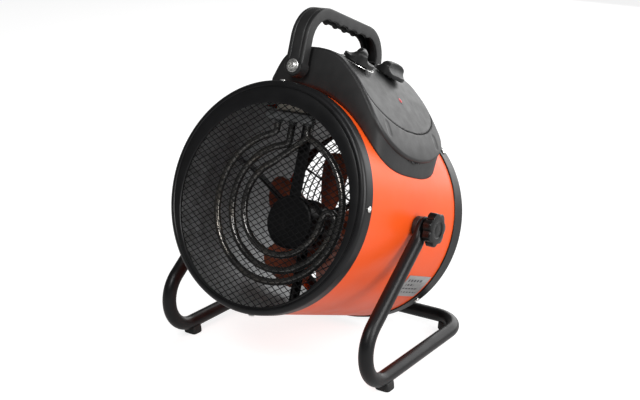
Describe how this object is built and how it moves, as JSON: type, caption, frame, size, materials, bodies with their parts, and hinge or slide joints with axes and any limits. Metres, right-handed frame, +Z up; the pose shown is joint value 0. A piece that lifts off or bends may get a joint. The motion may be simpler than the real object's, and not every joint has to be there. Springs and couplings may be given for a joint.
{
  "type": "electric drum fan heater",
  "caption": "Portable electric fan heater: a round metal drum with grilles and a carry handle, tilting on a bent-tube floor stand.",
  "frame": {"origin": "on the floor under the middle of the overall width and length, at the underside of the feet", "axes": "+Z up, the hot-air outlet faces -Y and is tilted 19.8 degrees up, +X is the side with the control panel and rating plate"},
  "size_m": [0.29, 0.2901, 0.3718],
  "materials": {
    "orange_paint": "semi-gloss orange powder coat",
    "black_paint": "satin black powder coat",
    "black_plastic": "finely textured black plastic",
    "knob_plastic": "black moulded plastic",
    "rubber": "matt black rubber",
    "zinc": "bright zinc plate",
    "galvanised": "galvanised sheet",
    "element_steel": "dark heat-stained stainless sheath",
    "motor_steel": "black painted steel can",
    "fan_paint": "red-brown primer",
    "red_lens": "translucent red lens",
    "label_foil": "blank silver foil",
    "ceramic": "unglazed steatite and moulded switch bodies"
  },
  "bodies": {
    "stand": {"stand_tube": "black_paint", "foot_front_left": "rubber", "foot_front_right": "rubber", "foot_rear_left": "rubber", "foot_rear_right": "rubber"},
    "drum": {"fan_motor": "motor_steel", "motor_bracket": "black_paint", "motor_heat_shield": "black_paint", "front_grille": "black_paint", "inner_liner": "galvanised", "liner_bracket_top": "galvanised", "liner_bracket_bottom": "galvanised", "outer_heating_element": "element_steel", "inner_heating_element": "element_steel", "element_bracket": "galvanised", "terminal_block": "ceramic", "drum_shell": "orange_paint", "front_ring": "black_paint", "rear_ring": "black_paint", "rear_grille": "black_paint", "front_ring_screw_1": "zinc", "front_ring_screw_2": "zinc", "front_ring_screw_3": "zinc", "front_ring_screw_4": "zinc", "rear_ring_screw_1": "zinc", "rear_ring_screw_2": "zinc", "rear_ring_screw_3": "zinc", "rear_ring_screw_4": "zinc", "control_housing": "black_plastic", "control_panel": "black_plastic", "indicator_lens": "red_lens", "cord_gland": "black_plastic", "thermostat": "ceramic", "selector_switch": "ceramic", "thermal_cutout": "ceramic", "thermostat_dial_ring": "zinc", "carry_handle": "black_plastic", "handle_bolt_front": "zinc", "handle_bolt_rear": "zinc", "pivot_stud_left": "zinc", "pivot_spacer_left": "black_plastic", "pivot_stud_right": "zinc", "pivot_spacer_right": "black_plastic", "rating_label": "label_foil"},
    "fan": {"fan_rotor": "fan_paint"},
    "thermostat_dial": {"thermostat_knob": "knob_plastic"},
    "selector_dial": {"selector_knob": "knob_plastic"},
    "clamp_left": {"clamp_knob_left": "knob_plastic"},
    "clamp_right": {"clamp_knob_right": "knob_plastic"}
  },
  "joints": [
    {"name": "drum_tilt", "type": "hinge", "parent": "stand", "child": "drum", "pos_m": [0, 0.00295, 0.154], "axis": [1, 0, 0], "range_deg": [-2, 35]},
    {"name": "fan_spin", "type": "hinge", "parent": "drum", "child": "fan", "pos_m": [0, 0.00884, 0.12903], "axis": [0, 0.9409, -0.3387], "continuous": true},
    {"name": "thermostat_turn", "type": "hinge", "parent": "drum", "child": "thermostat_dial", "pos_m": [0.0428, 0.00505, 0.31628], "axis": [0.3746, 0.3141, 0.8724], "range_deg": [-135, 135]},
    {"name": "selector_turn", "type": "hinge", "parent": "drum", "child": "selector_dial", "pos_m": [0.0462, 0.06291, 0.29396], "axis": [0.3746, 0.3141, 0.8724], "range_deg": [0, 135]},
    {"name": "clamp_left_turn", "type": "hinge", "parent": "drum", "child": "clamp_left", "pos_m": [-0.138, 0.00295, 0.154], "axis": [-1, 0, 0], "range_deg": [0, 360]},
    {"name": "clamp_right_turn", "type": "hinge", "parent": "drum", "child": "clamp_right", "pos_m": [0.138, 0.00295, 0.154], "axis": [1, 0, 0], "range_deg": [0, 360]}
  ]
}
